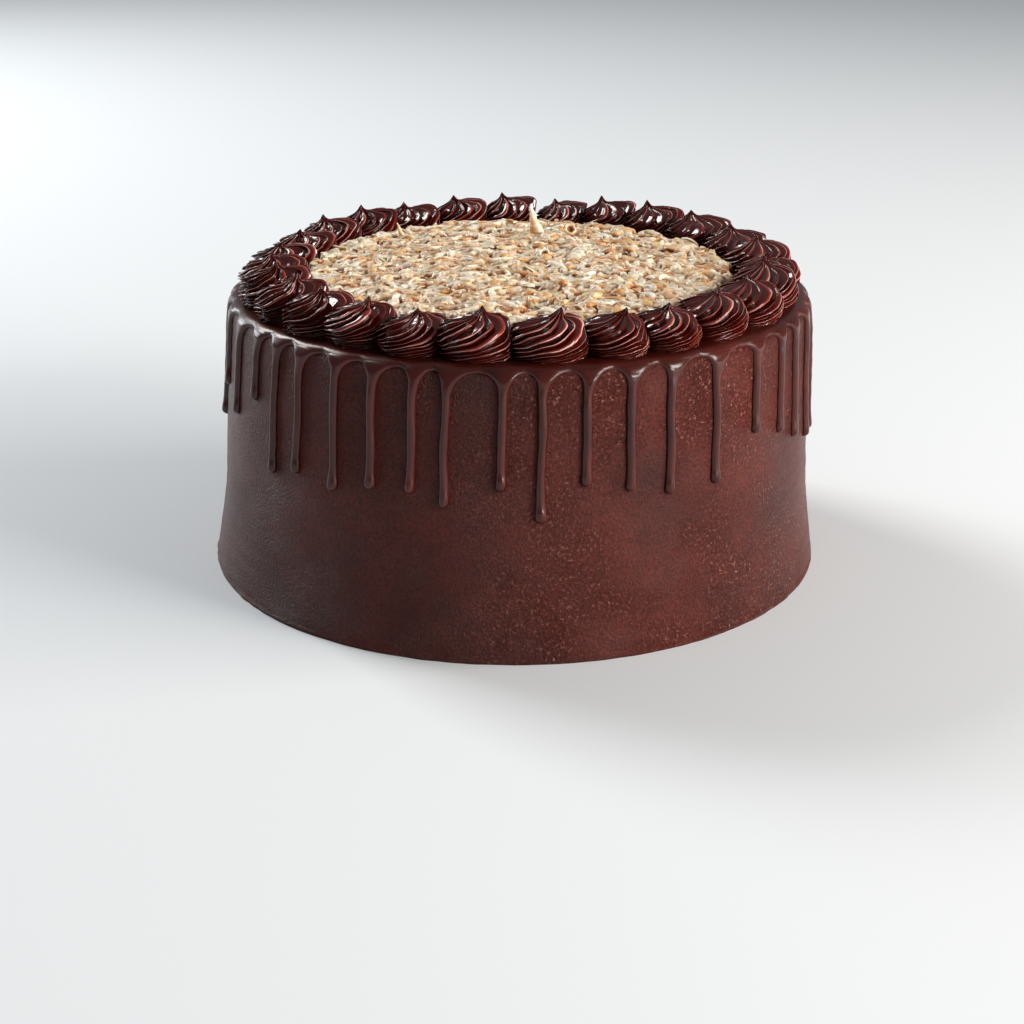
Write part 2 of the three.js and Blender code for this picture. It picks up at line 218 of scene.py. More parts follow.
def onCake(angle, radius, height, lift):
    # a point of the leaning, wavy cake; lift adds to the reach. One wave runs twice round
    # the side and a smaller one five times
    rise = np.minimum(1, height / cake["flareTopHeight"])
    wide = 0.6 * np.sin(2 * angle + 0.7)
    narrow = 0.4 * np.sin(5 * angle + height / 30)
    wave = cake["wave"] * rise * (wide + narrow) * np.minimum(1, radius / cake["waveFrom"])
    reach = radius + wave + lift
    x = reach * np.cos(angle) + cake["lean"] * height / cake["leanHeight"]
    return np.stack([x, reach * np.sin(angle), height], axis=1)


shoulderTurn = math.radians(90 - cake["sideSlope"])
shoulderPath = cake["shoulderRound"] * shoulderTurn


def drape(path, lift):
    # radius and height at a path length from the start of the shoulder, outwards and down,
    # and how upright the surface is there
    middleRadius, middleHeight = cake["shoulderMiddle"]
    turn = np.clip(path / cake["shoulderRound"], 0, shoulderTurn)
    reach = cake["shoulderRound"] + lift
    radius = middleRadius + reach * np.sin(turn) + np.minimum(path, 0)
    height = middleHeight + reach * np.cos(turn)
    down = np.maximum(path - shoulderPath, 0)
    slope = math.radians(cake["sideSlope"])
    return radius + down * math.sin(slope), height - down * math.cos(slope), np.sin(turn)


def pathAt(height):
    # path length down to a height of the side
    _, start, _ = drape(np.array([shoulderPath]), 0)
    return shoulderPath + (start[0] - height) / math.cos(math.radians(cake["sideSlope"]))


# Frosted side

frosting = {
    "columns": 600,
    "footRows": [0, 0.3, 0.6, 0.9, 1.2, 1.5, 1.9, 2.4, 3],  # heights of the close rows
    "evenRowsFrom": 3.8,
    "rowStep": 0.82,
    "shoulderRows": 7,
    "undersideRadius": 100,  # the rows on the flat underside and top
    "topRadius": 60,
    "reliefRadius": 90,  # corners further in than this stay smooth
    "footCrumple": 0.16,  # how ragged the foot is
    "footCrumpleHeight": 5,
    "footCrumpleLength": 7,
    "lip": 0.3,  # the foot's edge turns out by this much
    "lipHeight": 1.0,
    "lipSpread": 0.55,
    "lipLength": 12,
}


def frostedSide(material):
    even = np.arange(frosting["evenRowsFrom"], cake["sideTopHeight"], frosting["rowStep"])
    sideHeights = np.append(frosting["footRows"], even)
    turns = np.linspace(shoulderTurn, 0, frosting["shoulderRows"])
    middleRadius, middleHeight = cake["shoulderMiddle"]
    arcRadii = middleRadius + cake["shoulderRound"] * np.sin(turns)
    arcHeights = middleHeight + cake["shoulderRound"] * np.cos(turns)
    under, over = [frosting["undersideRadius"]], [frosting["topRadius"]]
    radii = np.concatenate([under, sideRadius(sideHeights), arcRadii, over])
    heights = np.concatenate([[0], sideHeights, arcHeights, [cake["height"]]])
    columns = frosting["columns"]
    rows = len(radii)
    angle = np.tile(ringTurns(columns), rows)
    radius = np.repeat(radii, columns)
    height = np.repeat(heights, columns)
    around = roundPoints(angle, height)
    near = 1 - smoothStep(0, frosting["footCrumpleHeight"], height)
    ragged = ripples(around, 7, frosting["footCrumpleLength"]) * 0.6 - 0.5
    turnOut = np.exp(-((height - frosting["lipHeight"]) / frosting["lipSpread"]) ** 2)
    uneven = 1 + 0.6 * ripples(around, 9, frosting["lipLength"])
    lift = scraperRelief(angle, height) + frosting["footCrumple"] * near * ragged
    lift = (lift + frosting["lip"] * turnOut * uneven) * (radius > frosting["reliefRadius"])
    corners = onCake(angle, radius, height, lift)
    faces = gridFaces(rows, columns)
    bottom, top, last = len(corners), len(corners) + 1, (rows - 1) * columns
    corners = np.vstack([corners, [0, 0, 0], [cake["lean"], 0, cake["height"]]])
    for i in range(columns):
        j = (i + 1) % columns
        faces.append((bottom, j, i))
        faces.append((top, last + i, last + j))
    return makePiece("scrapedFrosting", corners, faces, material, ["cake_body"])


# Poured ganache

# drips anticlockwise from +X: degrees, height of the lower end
frontDrips = [
    (185, 50), (193, 65), (203, 60), (212, 69), (219, 48), (226, 51), (235, 49),
    (243, 52), (251, 52.5), (257, 49), (267, 55), (274, 45), (282, 56), (290, 53),
    (298, 50), (308, 50), (319, 62), (328, 58), (335, 53), (344, 48), (352, 46),
]
ganache = {
    "rearDrips": 22,
    "rearEnds": (46, 68),
    "rearStray": 1.2,
    "thickness": 1.3,
    "thicknessStray": 0.07,
    "neckThickness": 1.65,
    "bulbThickness": 1.95,
    "neckHalf": 1.6,
    "bulbHalf": 1.95,
    "edgeRound": 1.65,  # how far in from its edge the ganache reaches its full thickness
    "sink": 0.22,
    "archPath": 2.5,  # path length from the start of the shoulder to the top of the arches
    "archPeak": 0.64,  # where in the gap the arch peaks, from its left end
    "peakStray": 0.05,
    "broadDrop": 9.2,  # the right of a drip flares this far down
    "broadStray": 0.15,
    "tightDrop": 4.8,
    "tightStray": 0.2,
    "wander": 0.22,  # how far a drip strays sideways, and over what length
    "wanderLength": 22,
    "ripple": 0.07,  # shallow ripples of the poured top
    "rippleLength": 14,
    # rows of corners on the top, path lengths inwards from the top of the arches
    "bandRows": [27, 19, 12, 8, 5.6, 4.2, 3.2, 2.4, 1.75, 1.2, 0.75, 0.35],
    "under": 0.3,  # the underside lies this deep in the cake
}


def allDrips():
    draw = seededDraws(11)
    drips = [(math.radians(angle), end) for angle, end in frontDrips]
    last = frontDrips[-1][0]
    step = (frontDrips[0][0] + 360 - last) / (ganache["rearDrips"] + 1)
    low, high = ganache["rearEnds"]
    for i in range(1, ganache["rearDrips"] + 1):
        angle = math.radians(last + i * step + ganache["rearStray"] * stray(draw))
        drips.append((angle, low + (high - low) * draw()))
    return drips


def flare(depth, drop, width):
    # how far an arch's edge stands off the neck, at a depth below the arch's top
    share = 1 - np.clip(depth / drop, 0, 1)
    return width * (1 - np.sqrt(np.clip(1 - share ** 2.1, 0, 1)))


def dripHalf(path, end):
    # half width of neck and bulb at a path length
    above = end - path
    swell = np.exp(-((above - 2.2) / 2.6) ** 2)
    half = ganache["neckHalf"] + (ganache["bulbHalf"] - ganache["neckHalf"]) * swell
    inEnd = np.clip(1 - above / ganache["bulbHalf"], 0, 1)
    return half * np.sqrt(np.clip(1 - inEnd ** 2, 0, 1))


def innerShare(across, paths, outline):
    # how far in from the outline, from 0 at it to 1 where the ganache has its full thickness
    away = np.stack([across, paths], axis=1)[:, None, :] - outline[None]
    distance = np.sqrt((away ** 2).sum(axis=2).min(axis=1))
    return np.clip(distance / ganache["edgeRound"], 0, 1)


def pouredGanache(material):
    drips = allDrips()
    count = len(drips)
    rim = cake["sideTopRadius"]
    neck = ganache["neckHalf"]
    top = ganache["archPath"]
    chance = np.random.default_rng(17)
    corners, faces = [], []

    def addCorners(angle, path, lift):
        radius, height, upright = drape(path, lift)
        grow = scraperRelief(angle, height) * upright
        first = len(corners)
        corners.extend(onCake(angle, radius, height, grow).tolist())
        return first

    # gaps from each drip to the next, and the room each side of a drip
    gaps = []
    for i in range(count):
        turn = (drips[(i + 1) % count][0] - drips[i][0]) % (2 * math.pi)
        gaps.append(turn * rim - 2 * neck)
    peakStray = ganache["peakStray"]
    peaks = ganache["archPeak"] + chance.uniform(-peakStray, peakStray, count)
    bandPaths = top - np.array(ganache["bandRows"])
    thickness = giveOrTake(chance, ganache["thicknessStray"], count)
    cells = []
    for i in range(count):
        angle, endHeight = drips[i]
        end = pathAt(endHeight)
        broad = gaps[i] * peaks[i]
        tight = gaps[i - 1] * (1 - peaks[i - 1])
        broadDrop = ganache["broadDrop"] * giveOrTake(chance, ganache["broadStray"])
        tightDrop = ganache["tightDrop"] * giveOrTake(chance, ganache["tightStray"])
        # rows of corners: the flare under the arches, the neck, and closer ones in the bulb
        flareRows = top + broadDrop * quarterTurn(13)
        neckEnd, bulbStart = end - 5, end - ganache["bulbHalf"]
        bulbTurns = np.linspace(0, math.pi / 2, 9)[1:-1]
        paths = np.concatenate([
            flareRows, np.linspace(flareRows[-1], neckEnd, 18)[1:],
            np.linspace(neckEnd, bulbStart, 5)[1:],
            end - ganache["bulbHalf"] * (1 - np.sin(bulbTurns)),
        ])
        wanderSeed = int(chance.integers(1000))

        def edges(path):
            spot = np.stack([path, path * 0, path * 0], axis=1)
            middle = ganache["wander"] * ripples(spot, wanderSeed, ganache["wanderLength"], 8)
            middle = middle * smoothStep(top, top + 12, path)
            uneven = 1 + 0.05 * ripples(spot, wanderSeed + 1, 9, 8)
            half = dripHalf(path, end) * uneven
            left = middle - half - flare(path - top, tightDrop, tight)
            right = middle + half + flare(path - top, broadDrop, broad)
            return left, right

        # the outline, finely sampled, for distances
        fine = np.concatenate([
            top + broadDrop * quarterTurn(70), top + tightDrop * quarterTurn(70),
            np.arange(top + tightDrop, end - 2, 0.3),
            end - ganache["bulbHalf"] * (1 - np.sin(np.linspace(0, math.pi / 2, 40))),
        ])
        fineLeft, fineRight = edges(fine)
        outline = np.concatenate([
            np.stack([fineLeft, fine], axis=1),
            np.stack([fineRight, fine], axis=1),
        ])
        left, right = edges(paths)
        cells.append({
            "angle": angle, "end": end, "paths": paths, "left": left, "right": right,
            "outline": outline, "scale": thickness[i],
            "reach": (neck + tight, neck + broad),
        })

    # shares across a row: dense near both edges
    near = quarterTurn(5)

    def acrossRow(left, right):
        band = min(1.7, 0.4 * (right - left))
        middle = np.linspace(left + band, right - band, 5)[1:-1]
        return np.concatenate([left + band * near, middle, (right - band * near)[::-1]])

    bandGrid = []  # for each drip, rows of corner numbers from the disc to the arches
    for cell in cells:
        leftReach, rightReach = cell["reach"]
        across = acrossRow(-leftReach, rightReach)[:-1]  # the last is the next cell's first
        rowsOf = []
        for path in [*bandPaths, top]:
            paths = np.full(len(across), path)
            inner = innerShare(across, paths, cell["outline"])
            full = ganache["thickness"] * cell["scale"] ** 0.3 + ganache["sink"]
            lift = full * roundedEdge(inner) - ganache["sink"]
            if path < 0:
                inner, lift = 1, ganache["thickness"]
            angle = cell["angle"] + across / rim
            ripple = ripples(roundPoints(angle, paths), 19, ganache["rippleLength"])
            lift = lift + ganache["ripple"] * ripple * inner
            first = addCorners(angle, paths, lift)
            rowsOf.append(list(range(first, first + len(across))))
        bandGrid.append(rowsOf)

    rings = [sum(rows, []) for rows in zip(*bandGrid)]
    for upper, lower in zip(rings, rings[1:]):
        for i in range(len(upper)):
            j = (i + 1) % len(upper)
            faces.append((upper[i], lower[i], lower[j], upper[j]))
    centre, inmost = len(corners), rings[0]
    corners.append([cake["lean"], 0, cake["height"] + ganache["thickness"]])
    for i in range(len(inmost)):
        faces.append((centre, inmost[i], inmost[(i + 1) % len(inmost)]))

    # drips below the top row
    apexes = [rowsOf[-1][0] for rowsOf in bandGrid]
    for i, cell in enumerate(cells):
        upper = bandGrid[i][-1] + [apexes[(i + 1) % count]]
        for k in range(1, len(cell["paths"])):
            path = cell["paths"][k]
            across = acrossRow(cell["left"][k], cell["right"][k])
            points = len(across)
            paths = np.full(points, path)
            inner = innerShare(across, paths, cell["outline"])
            inner[[0, -1]] = 0
            down = float(smoothStep(top, top + 10, path))
            bulb = math.exp(-((cell["end"] - path - 2) / 3.2) ** 2)
            full = ganache["thickness"] + down * (ganache["neckThickness"] - ganache["thickness"])
            full += bulb * (ganache["bulbThickness"] - ganache["neckThickness"])
            full = full * (1 + (cell["scale"] - 1) * down) + ganache["sink"]
            lift = full * roundedEdge(inner) - ganache["sink"]
            radius = drape(np.array([path]), 0)[0][0]
            angle = cell["angle"] + across / (rim + (radius - rim) * down)
            first = addCorners(angle, paths, lift)
            lower = list(range(first, first + points))
            for j in range(points - 1):
                faces.append((upper[j], lower[j], lower[j + 1], upper[j + 1]))
            faces.append((upper[-1], lower[-1], lower[0], upper[0]))  # the back of the drip
            upper = lower
        end = addCorners(
            np.array([cell["angle"] + (cell["left"][-1] + cell["right"][-1]) / 2 / rim]),
            np.array([cell["end"]]), np.array([-ganache["sink"]]),
        )
        for j in range(points - 1):
            faces.append((upper[j], end, upper[j + 1]))
        faces.append((upper[-1], end, upper[0]))

    # the underside, inside the cake's own surface
    under = []
    deep = ganache["under"]
    for cell in cells:
        angle = cell["angle"] - cell["reach"][0] / rim
        under.append(addCorners(np.array([angle]), np.array([0.0]), np.array([-deep])))
    corners.append([cake["lean"], 0, cake["height"] - deep])
    centre = len(corners) - 1
    for i in range(count):
        j = (i + 1) % count
        faces.append((apexes[i], apexes[j], under[j], under[i]))
        faces.append((centre, under[i], under[j]))
    return makePiece("pouredGanache", corners, faces, material, ["ganache_drip"])


# Piped swirls

swirl = {
    "angles": [
        -2, 11, 25, 41, 55.5, 68.5, 81, 94, 107.5, 121.5, 134, 147.5, 159, 172, 185, 198,
        211, 222.5, 236.5, 249, 262, 278, 292, 303, 317, 331, 346,
    ],  # where the tips stand round the ring, degrees from +X
    "ringRadius": 83.6,
    "floor": 93.8,
    "sink": 0.45,
    "height": 13.3,
    "halfWidth": 12,
    "heightStray": 0.11,
    "sizeStray": 0.05,
    "ridges": 14,
    "ridgeDepthStray": 0.25,
    "ridgeTurnStray": 0.12,
    "valleyCurve": 1.9,
    "twist": 3.6,
    "twistStray": 0.1,
    "twistCurve": 2.1,
    "lean": 2.4,
    "leanStray": 0.9,
    "slump": 1.1,  # the turns under the tip lie back by this much
    "hook": 1.1,  # how far a tip may bend in or out
    # size and length of the unevenness: soft lumps, crests that tear in places, a ragged
    # foot, and turns that rise and fall
    "lump": (0.22, 6.5),
    "tear": (0.34, 1.5),
    "ragged": (0.45, 2.6),
    "riseAndFall": (0.3, 8),
    "tornLength": 9,  # length of the places that tear
    "crestHighlightWidth": 0.014,  # share of a ridge that takes the painted highlight of its crest
    "spread": 1.22,
    "softShare": 0.82,
    "bulge": 0.9,  # the front of a swirl's turn rolls over its neighbour by this much
    # how far the side of a swirl's last turn towards +X stands up: the mean, how much it
    # changes round the ring, and where it is highest, in degrees
    "shoulder": (2.1, 1.1, 110),
    "rows": 46,
    # columns of corners over one ridge, dense by its sharp crest, and where its valley lies
    "shares": [0, 0.024, 0.07, 0.14, 0.23, 0.34, 0.46, 0.57, 0.69, 0.81, 0.91, 0.974],
    "valleyAt": 0.56,
}
# share of the height, share of the half width, depth of the valleys
swirlProfile = [
    (0, 0.9, 0.1), (0.1, 0.97, 0.13), (0.25, 1.02, 0.16), (0.4, 1, 0.18),
    (0.53, 0.95, 0.21), (0.62, 0.87, 0.25), (0.7, 0.7, 0.3), (0.75, 0.52, 0.34),
    (0.79, 0.34, 0.38), (0.83, 0.21, 0.4), (0.88, 0.12, 0.38), (0.94, 0.065, 0.3), (1, 0.012, 0.2),
]


def smoothCurve(places, values, wanted):
    # a smooth curve through the values that doesn't overshoot them
    places, values = np.array(places, float), np.array(values, float)
    steps = np.diff(places)
    slopes = np.diff(values) / steps
    tangents = np.concatenate([[slopes[0]], np.zeros(len(slopes) - 1), [slopes[-1]]])
    same = slopes[:-1] * slopes[1:] > 0
    mean = 2 * slopes[:-1] * slopes[1:] / np.where(same, slopes[:-1] + slopes[1:], 1)
    tangents[1:-1] = np.where(same, mean, 0)
    i = np.clip(np.searchsorted(places, wanted, side="right") - 1, 0, len(steps) - 1)
    t = (wanted - places[i]) / steps[i]
    return (
        values[i] * (1 + 2 * t) * (1 - t) ** 2 + tangents[i] * steps[i] * t * (1 - t) ** 2
        + values[i + 1] * t * t * (3 - 2 * t) - tangents[i + 1] * steps[i] * t * t * (1 - t)
    )


def press(offset, room):
    # presses an offset softly against the room that the neighbour leaves
    soft = room * swirl["softShare"]
    give = room - soft
    beyond = np.maximum(np.abs(offset) - soft, 0)
    pressed = soft + give * (1 - np.exp(-beyond / give))
    return np.where(beyond > 0, np.sign(offset) * pressed, offset)


def profileCurve(column, rises):
    values = [row[column] for row in swirlProfile]
    return smoothCurve([row[0] for row in swirlProfile], values, rises)


def swirlRises():
    # rows evenly spaced along the profile
    rises = np.linspace(0, 1, 800)
    reach = profileCurve(1, rises) * swirl["halfWidth"]
    steps = np.hypot(np.diff(rises * swirl["height"]), np.diff(reach))
    length = np.concatenate([[0], np.cumsum(steps)])
    return np.interp(np.linspace(0, length[-1], swirl["rows"]), length, rises)


def pipedSwirl(number, angle, height, halfWidth, before, after, material):
    chance = np.random.default_rng(100 + number)
    rises = swirlRises()
    perRidge = len(swirl["shares"])
    ridges = swirl["ridges"]
    columns = ridges * perRidge
    rise = np.repeat(rises, columns)
    column = np.tile(np.arange(columns), len(rises))
    reach = profileCurve(1, rise)
    depth = profileCurve(2, rise)
    # across a ridge: a sharp crest at 0 and a round valley a little past the middle
    share = np.array(swirl["shares"])[column % perRidge]
    valleyAt = swirl["valleyAt"]
    dip = np.where(share < valleyAt, share / valleyAt, (1 - share) / (1 - valleyAt))
    dip = 1 - (1 - dip) ** swirl["valleyCurve"]
    ridge = column // perRidge
    ridgeDepth = giveOrTake(chance, swirl["ridgeDepthStray"], ridges)[ridge]
    reach = reach * (1 - depth * ridgeDepth * dip)
    ridgeShift = swirl["ridgeTurnStray"] * chance.uniform(-1, 1, ridges)[ridge]
    turned = (ridge + share) * 2 * math.pi / ridges
    turned = turned + ridgeShift * np.minimum(1, 3 * rise)
    twist = swirl["twist"] * giveOrTake(chance, swirl["twistStray"])
    turned = turned + twist * (1 - (1 - rise) ** swirl["twistCurve"])
    turned = turned + chance.uniform(0, 2 * math.pi)
    radius = halfWidth * reach
    outwards = radius * np.cos(turned)
    along = radius * np.sin(turned)
    z = height * rise
    spot = np.stack([outwards, along, z * 1.6], axis=1) + 50 * number

    def uneven(kind, seed):
        size, length = swirl[kind]
        return size * ripples(spot, seed + number, length)

    torn = smoothStep(0.55, 1.1, ripples(spot, 300 + number, swirl["tornLength"]))
    tear = torn * uneven("tear", 400) * (1 - 0.6 * dip)
    fade = smoothStep(0, 0.25, reach)
    ragged = uneven("ragged", 600) * (1 - smoothStep(0.02, 0.2, rise))
    push = 1 + (uneven("lump", 200) + tear + ragged) * fade / np.maximum(radius, 2)
    outwards, along = outwards * push, along * push
    z = z + uneven("riseAndFall", 500) * fade * smoothStep(0, 0.15, rise)
    shoulder = smoothStep(0.25, 0.6, rise) * (1 - smoothStep(0.76, 0.88, rise))
    toX = (outwards * math.cos(angle) - along * math.sin(angle)) / halfWidth
    mean, change, highest = swirl["shoulder"]
    steep = mean + change * math.cos(angle - math.radians(highest))
    z = z + steep * shoulder * np.where(toX > 0, toX, 0.5 * toX)
    # room along the ring
    halfAngle = np.where(along > 0, after, before)
    room = (swirl["ringRadius"] + outwards) * np.tan(halfAngle)
    room = room + np.where(along > 0, swirl["bulge"], 0.1)
    spread = swirl["spread"] * swirl["ringRadius"] * np.tan(halfAngle) / halfWidth
    along = press(along * spread, room)
    # the tip is pulled over at the very top
    lean = swirl["lean"] + swirl["leanStray"] * chance.uniform(-1, 1)
    slump = swirl["slump"] * np.exp(-((rise - 0.6) / 0.18) ** 2)
    along = along + lean * smoothStep(0.5, 1.0, rise) - slump
    hook = swirl["hook"] * chance.uniform(-1, 1)
    x = swirl["ringRadius"] + outwards + hook * smoothStep(0.8, 1.0, rise)
    corners = np.stack([
        x * math.cos(angle) - along * math.sin(angle) + cake["lean"],
        x * math.sin(angle) + along * math.cos(angle),
        z * (height + swirl["sink"]) / height + swirl["floor"] - swirl["sink"],
    ], axis=1)
    faces = gridFaces(len(rises), columns)
    faces.append(tuple(range(columns - 1, -1, -1)))
    last = (len(rises) - 1) * columns
    tip = corners[last:].mean(axis=0) + [0, 0, 0.12]
    corners = np.vstack([corners, tip])
    faces += [(last + i, last + (i + 1) % columns, len(corners) - 1) for i in range(columns)]
    # painted highlight: a pale line along each crest and at the tip, and painted shade in the
    # valleys, carried in the corners' tones
    edge = np.exp(-(np.minimum(share, 1 - share) / swirl["crestHighlightWidth"]) ** 2)
    tonesAndPaintedLight = np.append(0.12 * (1 - dip) ** 1.8 * fade + 0.88 * edge * fade, 1)
    name, nodes = f"pipedSwirl{number:02d}", [f"swirl_{number:02d}"]
    return makePiece(name, corners, faces, material, nodes, tonesAndPaintedLight)


def swirlAngles():
    # where the swirls stand: their tips lean along the ring
    return np.radians(swirl["angles"]) - swirl["lean"] / swirl["ringRadius"]


def pipedSwirls(material):
    draw = seededDraws(23)
    angles = swirlAngles()
    for i, angle in enumerate(angles):
        before = (angle - angles[i - 1]) % (2 * math.pi)
        after = (angles[(i + 1) % len(angles)] - angle) % (2 * math.pi)
        height = swirl["height"] * (1 + swirl["heightStray"] * stray(draw))
        halfWidth = swirl["halfWidth"] * (1 + swirl["sizeStray"] * stray(draw))
        pipedSwirl(i + 1, angle, height, halfWidth, before / 2, after / 2, material)


# Coconut and pecan topping

topping = {
    "floor": 93.8,
    "edgeTop": 99.6,
    "dome": 1.6,
    "sunk": 0.45,  # the bare custard lies this much below its flakes
    "clearance": 0.5,
    "drop": 2.2,  # its edge rounds down by this much
    "edgeRound": 3,
    "valleyRadius": 73,
    "roomHalfDepth": 12.6,
    "roomHalfLength": 10.5,
    "grain": 0.44,  # spacing of the core's corners
    "rimCorners": 1000,
    "lumps": [(0.6, 10.5), (0.42, 4.8)],  # height and length of its lumps
    "sunkFlakes": 3500,
    "flakeLength": (2.2, 9.5),
    "flakeWidth": (1.1, 2.7),
    "flakeHeight": (0.4, 1.6),
    "flakeTurn": 0.75,  # how far flakes stray from the way the topping was spread, radians
    "smoothSpot": (63, -2, 8),  # bare custard: x, y, radius
    "shreds": 800,
    "shredLength": (2, 7.5),
    "shredWidth": (0.9, 2.1),
    "shredThickness": (0.4, 0.8),
    "shredTurn": 0.9,
    "standingShare": 0.02,  # share of the shreds that stand up out of the custard
    "nuts": 210,
    "nutSize": (0.8, 1.4),  # the smallest, and how much the largest adds
    "nutBreaks": 7,  # planes that each nut is broken along, and how far out they lie
    "nutBreakReach": (0.62, 0.95),
    "scatterRadius": 72,
    "scatterStray": 1.1,
    # x, y, length, width and height of the largest pieces, and their turn in degrees
    "largest": [
        (35.6, 45, 4.4, 3.8, 3.2, 20), (58, -7.5, 11.5, 2.6, 1.9, 27),
        (-14, -52.6, 5.4, 3.6, 2.2, 10), (-2.1, -20.9, 5, 3.4, 1.9, 160),
        (9.1, 3.9, 4.6, 3.6, 2.6, 70), (11, -27.5, 5.6, 3.4, 2, 15),
        (40, 30, 4.6, 3.2, 2.2, 120), (34, 4, 7.5, 2.2, 1.5, 8), (2, -40, 5.8, 3, 1.9, 175),
        (-30, 8, 6, 2.6, 1.9, 150), (24, -45, 5, 3.4, 2.2, 40), (-46, -18, 4.8, 3, 2, 100),
        (38, 34, 4, 3.2, 2.6, 60), (30, 14, 9, 2, 1.5, -50), (43, 6, 12, 1.9, 1.4, -48),
    ],
    # x, y, height and foot radius of the shreds that stand up, and how far they lean
    "standing": [
        (6.8, 43.1, 10.8, 2.5, -2.8), (-42, 43.3, 5.2, 1.1, -2.1), (8.2, 13, 3.2, 1.5, 0.4),
    ],
    # x, y, radius and height of the middle of the curls, whose hollows are painted dark for shade
    "curls": [(18.5, 44, 1.75, 102.8), (8.6, 8.5, 1.5, 102.4)],
}


def toppingReach(angle):
    # how far the topping reaches at angles round the ring's middle, clear of the swirls
    off = (angle[:, None] - swirlAngles()[None] + math.pi) % (2 * math.pi) - math.pi
    along = np.abs(off).min(axis=1) * swirl["ringRadius"] / topping["roomHalfLength"]
    inwards = topping["roomHalfDepth"] * np.sqrt(1 - np.minimum(1, along) ** 2)
    reach = swirl["ringRadius"] - inwards - topping["clearance"]
    return np.minimum(reach, topping["valleyRadius"])


def pulledIn(x, y, margin):
    # places moved in where they are past the topping's outline
    reach = toppingReach(np.arctan2(y, x)) - margin
    pull = np.minimum(1, reach / np.maximum(np.hypot(x, y), 1))
    return x * pull, y * pull


def custardHeight(x, y):
    # the custard without its flakes; x and y from the ring's middle
    spot = np.stack([x, y, x * 0], axis=1)
    share = np.hypot(x, y) / topping["valleyRadius"]
    height = topping["edgeTop"] + topping["dome"] * (1 - share * share) - topping["sunk"]
    for k, (size, length) in enumerate(topping["lumps"]):
        height = height + size * ripples(spot, 40 + k, length, 40)
    return height


def sunflower(count, radius):
    # places spread evenly over a disc
    order = np.arange(count) + 0.5
    reach = radius * np.sqrt(order / count)
    angle = order * goldenAngle
    return reach * np.cos(angle), reach * np.sin(angle)


def scatterSpots(count, chance, margin):
    # places spread over the topping, kept in from its outline
    x, y = sunflower(count, topping["scatterRadius"])
    x = x + chance.normal(0, topping["scatterStray"], count)
    y = y + chance.normal(0, topping["scatterStray"], count)
    return pulledIn(x, y, margin)


def spreadWay(x):
    # the way the topping was spread, which turns from left to right
    return math.radians(-18 - 0.7 * x)


def sinkFlakes(x, y, height):
    # flakes half sunk in the custard: the height and the tone of each corner, with painted light
    # on the flakes' raised middles and painted shade at their low edges
    chance = np.random.default_rng(51)
    count = topping["sunkFlakes"]
    flakeX, flakeY = scatterSpots(count, chance, 0.5)
    base = custardHeight(flakeX, flakeY)
    order = np.argsort(x)
    sortedX = x[order]
    raised = height.copy()
    spots = np.stack([x, y, x * 0], axis=1)
    tonesAndPaintedLight = 0.16 + 0.1 * ripples(spots, 47, 5, 40) + 0.08 * chance.uniform(-1, 1, len(x))
    spotX, spotY, spotRadius = topping["smoothSpot"]
    low, high = topping["flakeLength"]
    for i in range(count):
        length = low + (high - low) * chance.uniform() ** 1.6
        width = chance.uniform(*topping["flakeWidth"])
        thick = chance.uniform(*topping["flakeHeight"])
        way = spreadWay(flakeX[i]) + chance.normal(0, topping["flakeTurn"])
        tilt = chance.normal(0, 0.25)
        bend = chance.normal(0, 0.35)
        corner = chance.uniform(2, 5)
        tone = chance.uniform()
        bare = math.hypot(flakeX[i] - spotX, flakeY[i] - spotY) / spotRadius
        thick = thick * min(1, 0.15 + bare ** 2)
        ends = [flakeX[i] - length / 2, flakeX[i] + length / 2]
        first, last = np.searchsorted(sortedX, ends)
        near = order[first:last]
        near = near[np.abs(y[near] - flakeY[i]) < length / 2]
        offX, offY = x[near] - flakeX[i], y[near] - flakeY[i]
        along = offX * math.cos(way) + offY * math.sin(way)
        across = offY * math.cos(way) - offX * math.sin(way)
        u = along / (length / 2)
        v = (across - bend * (1 - u * u)) / (width / 2)
        room = 1 - np.abs(u) ** corner - np.abs(v) ** corner
        near, u, room = near[room > 0], u[room > 0], room[room > 0]
        crown = np.minimum(1, 1.6 * room) ** 0.5
        top = 0.6 * base[i] + 0.4 * height[near] + thick * crown + tilt * u - 0.25
        above = top > raised[near]
        raised[near[above]] = top[above]
        # painted light on a flake's raised middle, painted shade at its low edges
        tonesAndPaintedLight[near[above]] = 0.06 + 0.5 * tone * crown[above] + 0.34 * crown[above] * thick
    return raised, tonesAndPaintedLight


